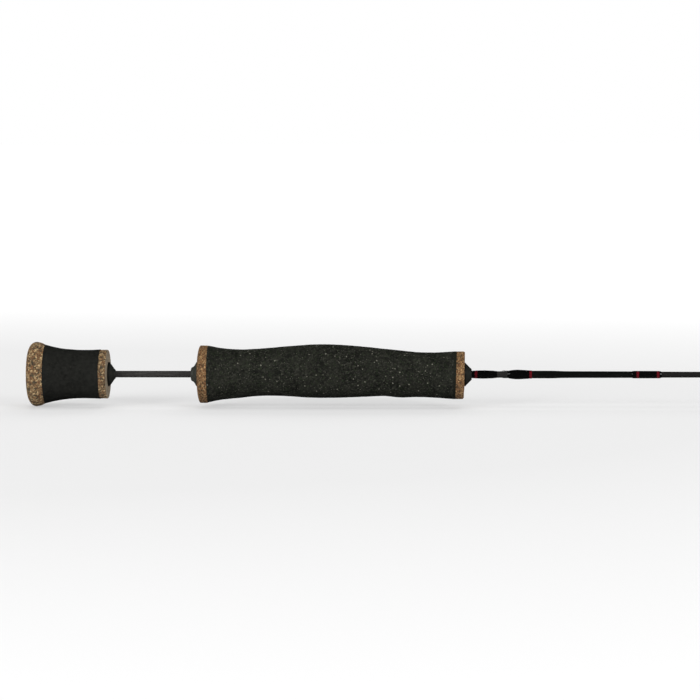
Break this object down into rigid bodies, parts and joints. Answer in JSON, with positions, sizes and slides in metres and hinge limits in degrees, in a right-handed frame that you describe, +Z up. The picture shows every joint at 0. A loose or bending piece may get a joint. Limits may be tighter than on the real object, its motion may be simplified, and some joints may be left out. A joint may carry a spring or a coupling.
{
  "type": "ice fishing rod",
  "caption": "Short split-grip ice fishing rod: slim carbon blank, cork-ended butt knob, shaped foregrip, folding hook keeper, single-foot guides and a tip-top.",
  "frame": {"origin": "centre of the butt knob's flat end face, on the rod's axis", "axes": "+X along the rod from the butt to the tip, +Z up and across the rod, +Y towards the guides and the reel side"},
  "size_m": [0.711, 0.0322, 0.0322],
  "materials": {
    "carbon_blank": "sanded bare carbon fibre",
    "gloss_coat": "black gloss coat",
    "burl_cork": "burl cork, sanded",
    "foam": "dense closed-cell foam, sanded",
    "rubber_cork": "black rubber and cork granulate, sanded",
    "winding_check": "dark anodised, matte",
    "arbor": "turned foam filler",
    "black_thread": "black nylon thread under gloss finish",
    "red_thread": "red metallic thread under gloss finish",
    "guide_steel": "polished stainless wire",
    "ring_ceramic": "polished ceramic insert"
  },
  "bodies": {
    "rod": {"blank": "carbon_blank", "label_coat": "gloss_coat", "knob_end_cork": "burl_cork", "knob_body": "foam", "knob_front_cork": "burl_cork", "knob_arbor": "arbor", "knob_check": "winding_check", "grip_rear_check": "winding_check", "grip_rear_cork": "burl_cork", "grip_body": "rubber_cork", "grip_shim": "foam", "grip_front_cork": "burl_cork", "grip_arbor": "arbor", "grip_front_check": "winding_check", "keeper_base": "guide_steel", "keeper_pin": "guide_steel", "keeper_rear_wrap": "black_thread", "keeper_rear_trim": "red_thread", "keeper_front_wrap": "black_thread", "keeper_front_trim": "red_thread", "guide1_frame": "guide_steel", "guide1_ring": "ring_ceramic", "guide1_wrap": "black_thread", "guide1_trim": "red_thread", "guide2_frame": "guide_steel", "guide2_ring": "ring_ceramic", "guide2_wrap": "black_thread", "guide2_trim": "red_thread", "guide3_frame": "guide_steel", "guide3_ring": "ring_ceramic", "guide3_wrap": "black_thread", "guide3_trim": "red_thread", "guide4_frame": "guide_steel", "guide4_ring": "ring_ceramic", "guide4_wrap": "black_thread", "guide4_trim": "red_thread", "guide5_frame": "guide_steel", "guide5_ring": "ring_ceramic", "guide5_wrap": "black_thread", "guide5_trim": "red_thread", "tip_frame": "guide_steel", "tip_ring": "ring_ceramic", "tip_wrap": "black_thread", "tip_trim": "red_thread"},
    "keeper": {"keeper_loop": "guide_steel"}
  },
  "joints": [
    {"name": "keeper_fold", "type": "hinge", "parent": "rod", "child": "keeper", "pos_m": [0.2382, 0.003, 0], "axis": [0, 0, -1], "range_deg": [0, 110]}
  ]
}
